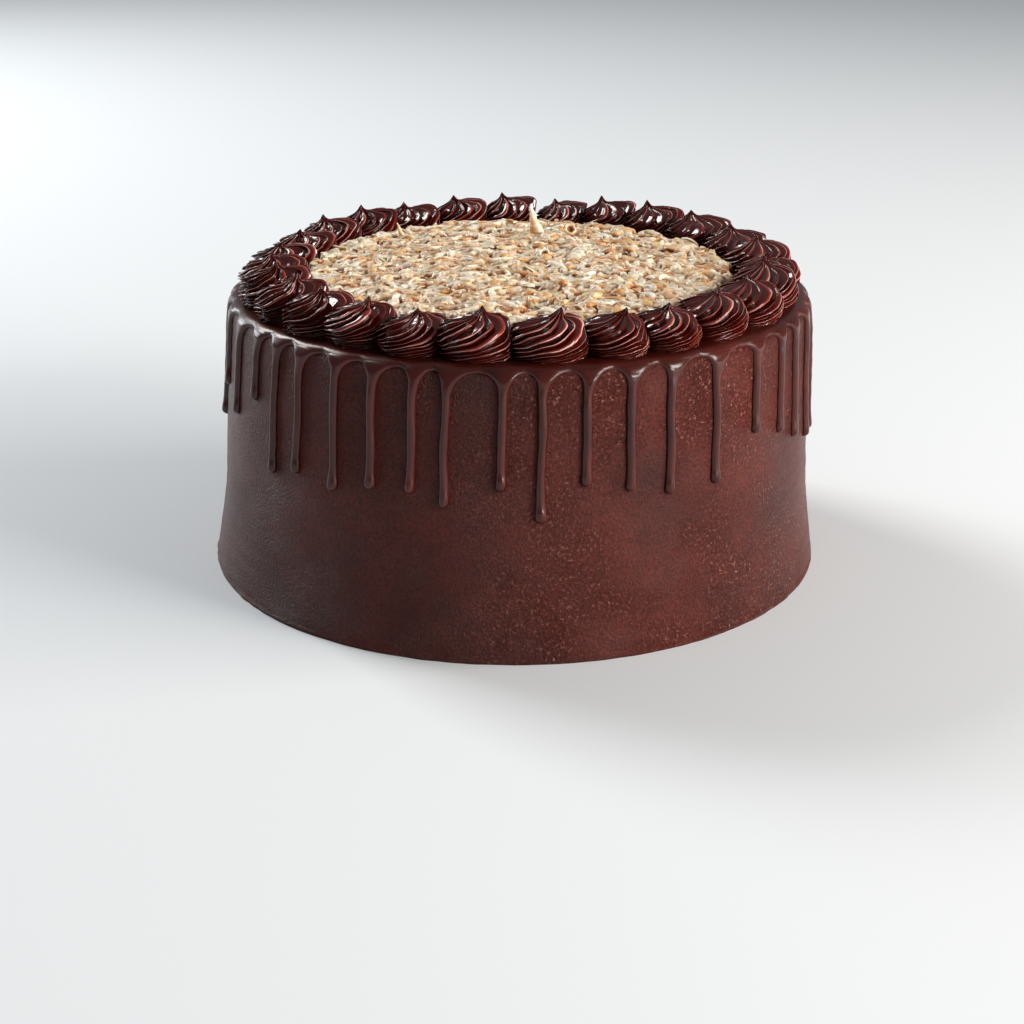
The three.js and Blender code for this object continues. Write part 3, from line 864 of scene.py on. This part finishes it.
def custardCore(material):
    count = int(math.pi * topping["valleyRadius"] ** 2 / topping["grain"] ** 2)
    x, y = sunflower(count, topping["valleyRadius"])
    inside = np.hypot(x, y) < toppingReach(np.arctan2(y, x)) - 0.35
    x, y = x[inside], y[inside]
    rimAngle = ringTurns(topping["rimCorners"])
    rimReach = toppingReach((rimAngle + math.pi) % (2 * math.pi) - math.pi)
    rimX, rimY = rimReach * np.cos(rimAngle), rimReach * np.sin(rimAngle)
    flat = [Vector(p) for p in zip([*rimX, *x], [*rimY, *y])]
    loop = list(range(len(rimX)))
    made = geometry.delaunay_2d_cdt(flat, [], [loop], 1, 1e-6)
    flat, faces = np.array([tuple(p) for p in made[0]]), [tuple(f) for f in made[2]]
    x, y = flat[:, 0], flat[:, 1]
    height, tonesAndPaintedLight = sinkFlakes(x, y, custardHeight(x, y))
    room = toppingReach(np.arctan2(y, x)) - np.hypot(x, y)
    edge = np.clip(room / topping["edgeRound"], 0, 1)
    height = height - topping["drop"] * (1 - roundedEdge(edge))
    corners = np.stack([x + cake["lean"], y, height], axis=1)
    # the outline runs straight down to the ganache
    sides = {side: True for face in faces for side in zip(face, face[1:] + face[:1])}
    border = [(a, b) for a, b in sides if (b, a) not in sides]
    lower = {}
    extra = []
    for a, _ in border:
        lower[a] = len(corners) + len(extra)
        extra.append([corners[a][0], corners[a][1], topping["floor"] - 0.5])
    middle = len(corners) + len(extra)
    extra.append([cake["lean"], 0, topping["floor"] - 0.5])
    corners = np.vstack([corners, extra])
    for a, b in border:
        faces.append((b, a, lower[a], lower[b]))
        faces.append((lower[b], lower[a], middle))
    tonesAndPaintedLight = np.append(tonesAndPaintedLight, np.full(len(extra), 0.1))
    nodes = ["coconut_pecan_topping"]
    return makePiece("custardCore", corners, faces, material, nodes, tonesAndPaintedLight)


def addTube(rings, corners, faces):
    # a closed tube, from its rings of corners
    first, sides = len(corners), len(rings[0])
    last = first + (len(rings) - 1) * sides
    corners.extend(np.vstack(rings).tolist())
    faces.extend(gridFaces(len(rings), sides, first))
    faces.append(tuple(first + j for j in range(sides - 1, -1, -1)))
    faces.append(tuple(last + j for j in range(sides)))


def addLooseShreds(chance, corners, faces, tonesAndPaintedLight):
    x, y = scatterSpots(topping["shreds"], chance, 1.6)
    ringCount = 6
    share = np.linspace(-1, 1, ringCount)
    # outline across a shred: flat, with narrow edges
    outline = np.array([(1, 0), (0.72, 0.9), (-0.6, 1), (-1, 0.1), (-0.7, -0.9), (0.6, -1)])
    sides = len(outline)
    low, high = topping["shredLength"]
    spotX, spotY, spotRadius = topping["smoothSpot"]
    for i in range(len(x)):
        length = low + (high - low) * chance.uniform() ** 1.5
        width = chance.uniform(*topping["shredWidth"])
        thick = chance.uniform(*topping["shredThickness"])
        way = spreadWay(x[i]) + chance.normal(0, topping["shredTurn"])
        bend = chance.normal(0, 0.16) * length
        along = share * length / 2
        sideways = bend * (1 - share ** 2)
        px = x[i] + along * math.cos(way) - sideways * math.sin(way)
        py = y[i] + along * math.sin(way) + sideways * math.cos(way)
        px, py = pulledIn(px, py, 0.6)
        lift = chance.uniform(-0.1, 1.05)
        tip = chance.normal(0, 0.16)
        curl = chance.normal(0.1, 0.35)
        base = custardHeight(px, py)
        pz = 0.5 * base + 0.5 * base.mean() + lift + tip * along + curl * (1 - share ** 2)
        if chance.uniform() < topping["standingShare"]:
            pz = base[0] + (along + length / 2) * chance.uniform(0.25, 0.6)
        if math.hypot(x[i] - spotX, y[i] - spotY) < spotRadius:
            pz = pz - 1.2
        spine = np.stack([px + cake["lean"], py, pz], axis=1)
        # the ways along, across and up at each ring
        forward = np.gradient(spine, axis=0)
        forward /= np.linalg.norm(forward, axis=1)[:, None]
        across = np.cross([0, 0, 1], forward)
        across /= np.linalg.norm(across, axis=1)[:, None]
        up = np.cross(forward, across)
        roll = (chance.normal(0, 0.45) + chance.normal(0, 0.3) * share)[:, None]
        wide = across * np.cos(roll) + up * np.sin(roll)
        tall = up * np.cos(roll) - across * np.sin(roll)
        ends = chance.uniform(0.25, 0.9, 2)
        taper = 1 - (1 - np.where(share < 0, ends[0], ends[1])) * np.abs(share) ** 2.5
        taper = taper * chance.uniform(0.75, 1.2, ringCount)
        rings = []
        for k in range(ringCount):
            uneven = chance.uniform(0.8, 1.15, sides)
            wideShift = outline[:, 0] * uneven * width / 2 * taper[k]
            tallShift = outline[:, 1] * uneven * thick / 2 * (0.5 + 0.5 * taper[k])
            across = np.outer(wideShift, wide[k]) + np.outer(tallShift, tall[k])
            rings.append(spine[k] + across)
        addTube(rings, corners, faces)
        tone = chance.uniform()
        # painted light and shade: a shred is paler where it stands higher above the custard,
        # darker where it sinks
        above = np.vstack(rings)[:, 2] - np.repeat(base, sides)
        tonesAndPaintedLight += (0.3 + 0.5 * tone + 0.22 * np.clip(above - 0.2, -1, 0.8)).tolist()


def addStandingShreds(chance, corners, faces, tonesAndPaintedLight):
    # a foot spread in the custard and a bent, tapering tip
    rows, sides = 14, 10
    turn = ringTurns(sides)
    for px, py, height, foot, lean in topping["standing"]:
        base = custardHeight(np.array([px]), np.array([py]))[0]
        rings = []
        for k in range(rows):
            rise = k / (rows - 1)
            reach = foot * (0.42 + 0.78 * (1 - rise) ** 2.2) * (1 - 0.55 * rise ** 4)
            reach = reach * chance.uniform(0.9, 1.1, sides)
            middleX = px + cake["lean"] + lean * rise ** 1.3 + 0.1 * math.sin(9 * rise)
            rings.append(np.stack([
                middleX + reach * np.cos(turn) * 1.15, py + reach * np.sin(turn) * 0.75,
                np.full(sides, base - 0.6 + (height + 0.6) * rise),
            ], axis=1))
            # painted light and shade: paler towards the tip, darker at the foot
            tonesAndPaintedLight += [0.55 + 0.3 * rise - 0.3 * (k < 3)] * sides
        addTube(rings, corners, faces)


def addCurls(corners, faces, tonesAndPaintedLight):
    # thick rings of coconut that lean back, each round a bowl whose hollow is painted dark golden
    # brown, for the shade inside it
    sides = 20
    facing = np.array([0.05, -0.83, 0.55])
    aside = np.array([1, 0.06, 0])
    upward = np.cross(aside, facing)
    turn = ringTurns(sides)
    # reach and depth of each ring, from the middle of the bowl over the rim to the back
    bowl = [
        (0.05, -0.55), (0.35, -0.5), (0.6, -0.3), (0.72, 0.1), (0.82, 0.42), (0.98, 0.55),
        (1.14, 0.42), (1.22, 0.1), (1.16, -0.4), (0.95, -1.0), (0.5, -1.3), (0.1, -1.35),
    ]
    for px, py, radius, middleHeight in topping["curls"]:
        centre = np.array([px + cake["lean"], py, middleHeight])
        uneven = 1 + 0.08 * np.sin(2 * turn + px) + 0.05 * np.sin(5 * turn)
        rings = []
        for reach, depth in bowl:
            wide = radius * reach * uneven
            rings.append(
                centre + np.outer(wide * np.cos(turn), aside)
                + np.outer(wide * np.sin(turn), upward) + facing * depth * radius * 0.7
            )
            # painted shade: the hollow of the bowl is dark, the rest pale
            tonesAndPaintedLight += [0.08 if reach < 0.65 and depth < 0 else 0.85] * sides
        addTube(rings, corners, faces)


def coconutShreds(material):
    chance = np.random.default_rng(61)
    corners, faces, tonesAndPaintedLight = [], [], []
    addLooseShreds(chance, corners, faces, tonesAndPaintedLight)
    addStandingShreds(chance, corners, faces, tonesAndPaintedLight)
    addCurls(corners, faces, tonesAndPaintedLight)
    nodes = ["coconut_pecan_topping"]
    piece = makePiece("coconutShreds", corners, faces, material, nodes, tonesAndPaintedLight)
    piece.data.set_sharp_from_angle(angle=math.radians(52))
    return piece


def choppedPecans(material):
    chance = np.random.default_rng(71)
    x, y = scatterSpots(topping["nuts"], chance, 2.4)
    smallest, more = topping["nutSize"]
    nuts = []
    for i in range(len(x)):
        size = smallest + more * chance.uniform() ** 1.6
        nuts.append((
            x[i], y[i], 2 * size * chance.uniform(1, 1.5), 2 * size,
            1.3 * size * chance.uniform(0.7, 1), chance.uniform(0, 360),
        ))
    nuts += topping["largest"]
    shape = bmesh.new()
    bmesh.ops.create_icosphere(shape, subdivisions=3, radius=1)
    ball = np.array([tuple(v.co) for v in shape.verts])
    ballFaces = [tuple(v.index for v in f.verts) for f in shape.faces]
    shape.free()
    corners, faces, tonesAndPaintedLight = [], [], []
    for i, (px, py, length, width, high, way) in enumerate(nuts):
        # a nut broken along a few planes, its faces worn round
        reach = np.full(len(ball), 1.0)
        for _ in range(topping["nutBreaks"]):
            plane = chance.normal(size=3)
            plane /= np.linalg.norm(plane)
            ahead = ball @ plane
            cut = chance.uniform(*topping["nutBreakReach"]) / np.maximum(ahead, 0.01)
            reach = np.where(ahead > 0, np.minimum(reach, cut), reach)
        lumps = 1 + 0.1 * ripples(ball * 3 + 10 * i, 80, 3.2, 12)
        points = ball * (reach * lumps)[:, None] * [length / 2, width / 2, high / 2]
        tilt = chance.normal(0, 0.25)
        c, s = math.cos(tilt), math.sin(tilt)
        points = points @ np.array([[c, 0, s], [0, 1, 0], [-s, 0, c]])
        c, s = math.cos(math.radians(way)), math.sin(math.radians(way))
        points = points @ np.array([[c, s, 0], [-s, c, 0], [0, 0, 1]])
        z = custardHeight(np.array([px]), np.array([py]))[0] + 0.36 * high + 0.1
        first = len(corners)
        corners.extend((points + [px + cake["lean"], py, z]).tolist())
        faces += [tuple(first + k for k in face) for face in ballFaces]
        # painted light and shade: each nut is paler on its top and darker beneath, on top of its
        # own random tone
        tonesAndPaintedLight += (chance.uniform(0.15, 0.75) + 0.3 * points[:, 2] / high).tolist()
    nodes = ["coconut_pecan_topping"]
    return makePiece("pecanPieces", corners, faces, material, nodes, tonesAndPaintedLight)


# Materials

def frostingMaterial():
    # chocolate buttercream, smoothed with a scraper: a deep red brown satin, with a fine grain
    # that glints in patches (partly painted glints, with painted shade in its hollows), faint drag
    # marks and scattered pits
    made, add = newMaterial("scrapedChocolateButtercream")
    place = add("TexCoord", {}).outputs["Object"]
    # clouds of about 40 mm
    cloud = add("TexNoise", {"Vector": place, "Scale": 24, "Detail": 5, "Roughness": 0.6})
    colour = add("ValToRGB", {"Fac": cloud}, stops=[(0.32, "#340e08"), (0.68, "#501d14")])
    # grain of about 0.5 mm, drawn at 1 mm so that it shows, stronger in patches of 30 mm
    grain = add("TexNoise", {"Vector": place, "Scale": 1050, "Detail": 4, "Roughness": 0.7})
    patch = add("TexNoise", {"Vector": place, "Scale": 34, "Detail": 3, "Roughness": 0.6})
    grainDepth = add("MapRange", {"Value": patch, "From Min": 0.38, "From Max": 0.66,
        "To Min": 0.5, "To Max": 1})
    gloss = add("MapRange", {"Value": patch, "From Min": 0.38, "From Max": 0.66,
        "To Min": 0.36, "To Max": 0.27})
    # drag marks, 17 mm long and 1 mm high
    squash = add("Mapping", {"Vector": place, "Scale": (60, 60, 900)})
    drag = add("TexNoise", {"Vector": squash, "Scale": 1, "Detail": 3})
    # pits, 0.8 mm wide and about 5 mm apart
    cells = add("TexVoronoi", {"Vector": place, "Scale": 190})
    pits = add("MapRange", {"Value": cells, "From Min": 0.02, "From Max": 0.075},
        settings={"interpolation_type": "SMOOTHSTEP"})
    dragged = add("Bump", {"Height": drag, "Strength": 0.3, "Distance": 0.0003})
    pitted = add("Bump", {"Height": pits, "Strength": 0.8, "Distance": 0.0004,
        "Normal": dragged})
    grained = add("Bump", {"Height": grain, "Strength": grainDepth, "Distance": 0.0012,
        "Normal": pitted})
    # painted shade in the hollows between the grains and painted light on their tops: the colour
    # is darker in the hollows, lighter on the tops
    shade = add("MapRange", {"Value": grain, "From Min": 0.4, "From Max": 0.6, "To Min": 0.6,
        "To Max": 1.25})
    shaded = add("VectorMath", {0: colour, "Scale": shade}, settings={"operation": "SCALE"})
    # painted glints: the tops of the grains are painted pale in patches, fading towards the left,
    # away from the light at the right
    paintedGlintTops = add("MapRange", {"Value": grain, "From Min": 0.59, "From Max": 0.68, "To Max": 0.5})
    paintedGlintPatches = add("MapRange", {"Value": patch, "From Min": 0.46, "From Max": 0.62})
    axes = add("SeparateXYZ", {"Vector": place})
    paintedGlintSide = add("MapRange", {"Value": axes, "From Min": -0.035, "From Max": 0.03,
        "To Min": 0.12, "To Max": 1})
    paintedGlints = add("Math", {0: paintedGlintTops, 1: paintedGlintPatches}, settings={"operation": "MULTIPLY"})
    paintedGlintsSided = add("Math", {0: paintedGlints, 1: paintedGlintSide}, settings={"operation": "MULTIPLY"})
    # the pale colour of the painted glints
    paintedGlintColour = add("Mix", {0: paintedGlintsSided, 6: shaded, 7: linear("#b8988e")},
        settings={"data_type": "RGBA"})
    shader = add("BsdfPrincipled", {"Base Color": paintedGlintColour.outputs[2], "Roughness": gloss,
        "Normal": grained, "IOR": 1.45, "Specular IOR Level": 0.25})
    add("OutputMaterial", {"Surface": shader})
    return made


def ganacheMaterial():
    # chocolate ganache, poured warm and set: smooth, darker than the frosting, soft gloss
    made, add = newMaterial("pouredChocolateGanache")
    place = add("TexCoord", {}).outputs["Object"]
    cloud = add("TexNoise", {"Vector": place, "Scale": 60, "Detail": 3})
    colour = add("ValToRGB", {"Fac": cloud}, stops=[(0.3, "#300c06"), (0.7, "#44140d")])
    # shallow ripples, 2 to 3 mm
    ripple = add("TexNoise", {"Vector": place, "Scale": 380, "Detail": 2})
    bump = add("Bump", {"Height": ripple, "Strength": 0.12, "Distance": 0.0004})
    # the rim has set duller than the drips below it
    axes = add("SeparateXYZ", {"Vector": place})
    dulled = add("MapRange", {"Value": axes.outputs["Z"], "From Min": 0.0885,
        "From Max": 0.092, "To Min": 0.12, "To Max": 0.3})
    shader = add("BsdfPrincipled", {"Base Color": colour, "Roughness": dulled, "Normal": bump,
        "IOR": 1.46, "Specular IOR Level": 0.44})
    add("OutputMaterial", {"Surface": shader})
    return made


def swirlMaterial():
    # dark chocolate frosting pressed through a closed star nozzle: glossy; a painted highlight
    # makes its thin crests redder and paler, and painted shade makes the valleys darker
    made, add = newMaterial("pipedChocolateFrosting")
    place = add("TexCoord", {}).outputs["Object"]
    cloud = add("TexNoise", {"Vector": place, "Scale": 90, "Detail": 3})
    tone = add("Attribute", {}, settings={"attribute_name": "tone"})
    uneven = add("Math", {0: tone.outputs["Fac"], 1: cloud},
        settings={"operation": "MULTIPLY"})
    # the palest stop is the painted highlight of the crests
    colour = add("ValToRGB", {"Fac": uneven}, stops=[(0, "#3e0d06"), (0.14, "#5e180f"),
        (0.32, "#70261c"), (0.62, "#d2a89e")])
    # tiny tears and air holes, about 1 mm
    grain = add("TexNoise", {"Vector": place, "Scale": 850, "Detail": 3})
    bump = add("Bump", {"Height": grain, "Strength": 0.3, "Distance": 0.0003})
    shader = add("BsdfPrincipled", {"Base Color": colour, "Roughness": 0.14, "Normal": bump,
        "IOR": 1.48, "Specular IOR Level": 0.64})
    add("OutputMaterial", {"Surface": shader})
    return made


def toppingMaterial(name, roughness, stops):
    # wet pieces: the colour goes by each corner's own tone, with painted shade, dark and golden
    # where it lies deep, and painted light on raised tops; a mottle of about 2 mm stands for the
    # custard that clings to them
    made, add = newMaterial(name)
    place = add("TexCoord", {}).outputs["Object"]
    mottle = add("TexNoise", {"Vector": place, "Scale": 420, "Detail": 3})
    tone = add("Attribute", {}, settings={"attribute_name": "tone"})
    mixed = add("Mix", {0: 0.3, 2: tone.outputs["Fac"], 3: mottle})
    colour = add("ValToRGB", {"Fac": mixed}, stops=stops)
    # golden patches, about 6 mm, where the custard is thick and clear
    patch = add("TexNoise", {"Vector": place, "Scale": 170, "Detail": 2})
    share = add("MapRange", {"Value": patch, "From Min": 0.5, "From Max": 0.62, "To Max": 0.6})
    gilded = add("Mix", {0: share, 6: colour, 7: linear("#e4b068")},
        settings={"data_type": "RGBA", "blend_type": "MULTIPLY"})
    # fine wrinkles and fibres, about 0.7 mm, that break the wet gloss into glints
    grain = add("TexNoise", {"Vector": place, "Scale": 1500, "Detail": 2})
    bump = add("Bump", {"Height": grain, "Strength": 0.6, "Distance": 0.0003})
    shader = add("BsdfPrincipled", {"Base Color": gilded.outputs[2], "Roughness": roughness,
        "Normal": bump, "IOR": 1.45, "Subsurface Weight": 0.3,
        "Subsurface Radius": (1, 0.45, 0.2), "Subsurface Scale": 0.0018})
    add("OutputMaterial", {"Surface": shader})
    return made


def custardMaterial():
    # cooked caramel coloured custard with flakes sunk in it: brown in its crevices, partly its own
    # colour and partly painted shade, cream above with painted light on the flakes' tops
    return toppingMaterial("cookedCaramelCustard", 0.24, [
        (0.14, "#5c2016"), (0.26, "#8c4c34"), (0.4, "#b68c68"), (0.56, "#d6c1a0"),
        (0.75, "#f2e8d6"),
    ])


def shredMaterial():
    # shredded coconut coated in custard: cream to tan, wet
    return toppingMaterial("custardCoatedCoconut", 0.22, [
        (0.12, "#7c3e1e"), (0.3, "#ae7c54"), (0.48, "#d0b492"), (0.66, "#eadcc4"),
        (0.82, "#f8f2e4"),
    ])


def pecanMaterial():
    # chopped pecans: brown skins, golden and cream where they are cut
    return toppingMaterial("choppedPecan", 0.28, [
        (0.15, "#7a4422"), (0.3, "#b07a42"), (0.48, "#cfa470"), (0.65, "#dec394"),
        (0.9, "#ecdcc0"),
    ])


def floorMaterial():
    # plain matt studio floor, very pale and cool
    made, add = newMaterial("paleStudioFloor")
    shader = add("BsdfPrincipled", {"Base Color": linear("#dae0e5"), "Roughness": 0.85})
    add("OutputMaterial", {"Surface": shader})
    return made


# Studio

studio = {
    "world": "#e8eef4",
    "worldStrength": 0.24,
    # name: place in metres, width and height, power in watts, colour, seen in the gloss
    "lights": {
        "keyLight": ((-1.1, 0.95, 1.25), (0.62, 0.62), 22, "#fffaf4", True),
        "windowLight": ((1.5, -0.15, 0.4), (0.9, 0.5), 29, "#fff2e6", False),
        "windowGlint": ((1.3, -0.8, 0.6), (0.55, 0.55), 21, "#fff8f0", True),
        "glintLight": ((0.95, -1.0, 0.13), (0.6, 0.13), 6, "#fffdf8", True),
        "leftLight": ((-1.35, 0.95, 0.42), (0.8, 0.5), 10, "#f6faff", True),
    },
    "aim": (0, 0, 0.05),
    "lens": 68.21,
    "camera": (0, -0.6478, 0.2603),
    "turns": (0.0803, 68.878, -0.0717),  # degrees: yaw, tilt up from straight down, roll
    "clip": (0.01, 50),
    "floorHalf": 12,
}


def makeStudio():
    scene = bpy.context.scene
    world = bpy.data.worlds.new("studioAir")
    world.use_nodes = True
    background = world.node_tree.nodes["Background"]
    background.inputs["Color"].default_value = linear(studio["world"])
    background.inputs["Strength"].default_value = studio["worldStrength"]
    scene.world = world
    scene.view_settings.view_transform = "Standard"
    for name, (place, size, power, colour, glossy) in studio["lights"].items():
        light = bpy.data.lights.new(name, "AREA")
        light.shape = "RECTANGLE"
        light.size, light.size_y = size
        light.energy = power
        light.color = linear(colour)[:3]
        lamp = bpy.data.objects.new(name, light)
        lamp.location = place
        lamp.visible_glossy = glossy
        lamp.rotation_mode = "QUATERNION"
        aim = Vector(studio["aim"]) - Vector(place)
        lamp.rotation_quaternion = aim.to_track_quat("-Z", "Y")
        scene.collection.objects.link(lamp)
    camera = bpy.data.objects.new("camera", bpy.data.cameras.new("camera"))
    camera.data.lens = studio["lens"]
    camera.data.clip_start, camera.data.clip_end = studio["clip"]
    yaw, tilt, roll = [math.radians(turn) for turn in studio["turns"]]
    turned = Matrix.Rotation(yaw, 4, "Z") @ Matrix.Rotation(tilt, 4, "X")
    turned = turned @ Matrix.Rotation(roll, 4, "Z")
    camera.matrix_world = Matrix.Translation(studio["camera"]) @ turned
    scene.collection.objects.link(camera)
    scene.camera = camera
    mesh = bpy.data.meshes.new("floor")
    far = studio["floorHalf"]
    edges = [(-far, -far, 0), (far, -far, 0), (far, far, 0), (-far, far, 0)]
    mesh.from_pydata(edges, [], [(0, 1, 2, 3)])
    mesh.materials.append(floorMaterial())
    floor = bpy.data.objects.new("floor", mesh)
    scene.collection.objects.link(floor)


makeStudio()
print("studio ready")
frostedSide(frostingMaterial())
print("frosted side made")
pouredGanache(ganacheMaterial())
print("ganache poured")
pipedSwirls(swirlMaterial())
print("swirls piped")
custardCore(custardMaterial())
coconutShreds(shredMaterial())
choppedPecans(pecanMaterial())
print("topping spread")
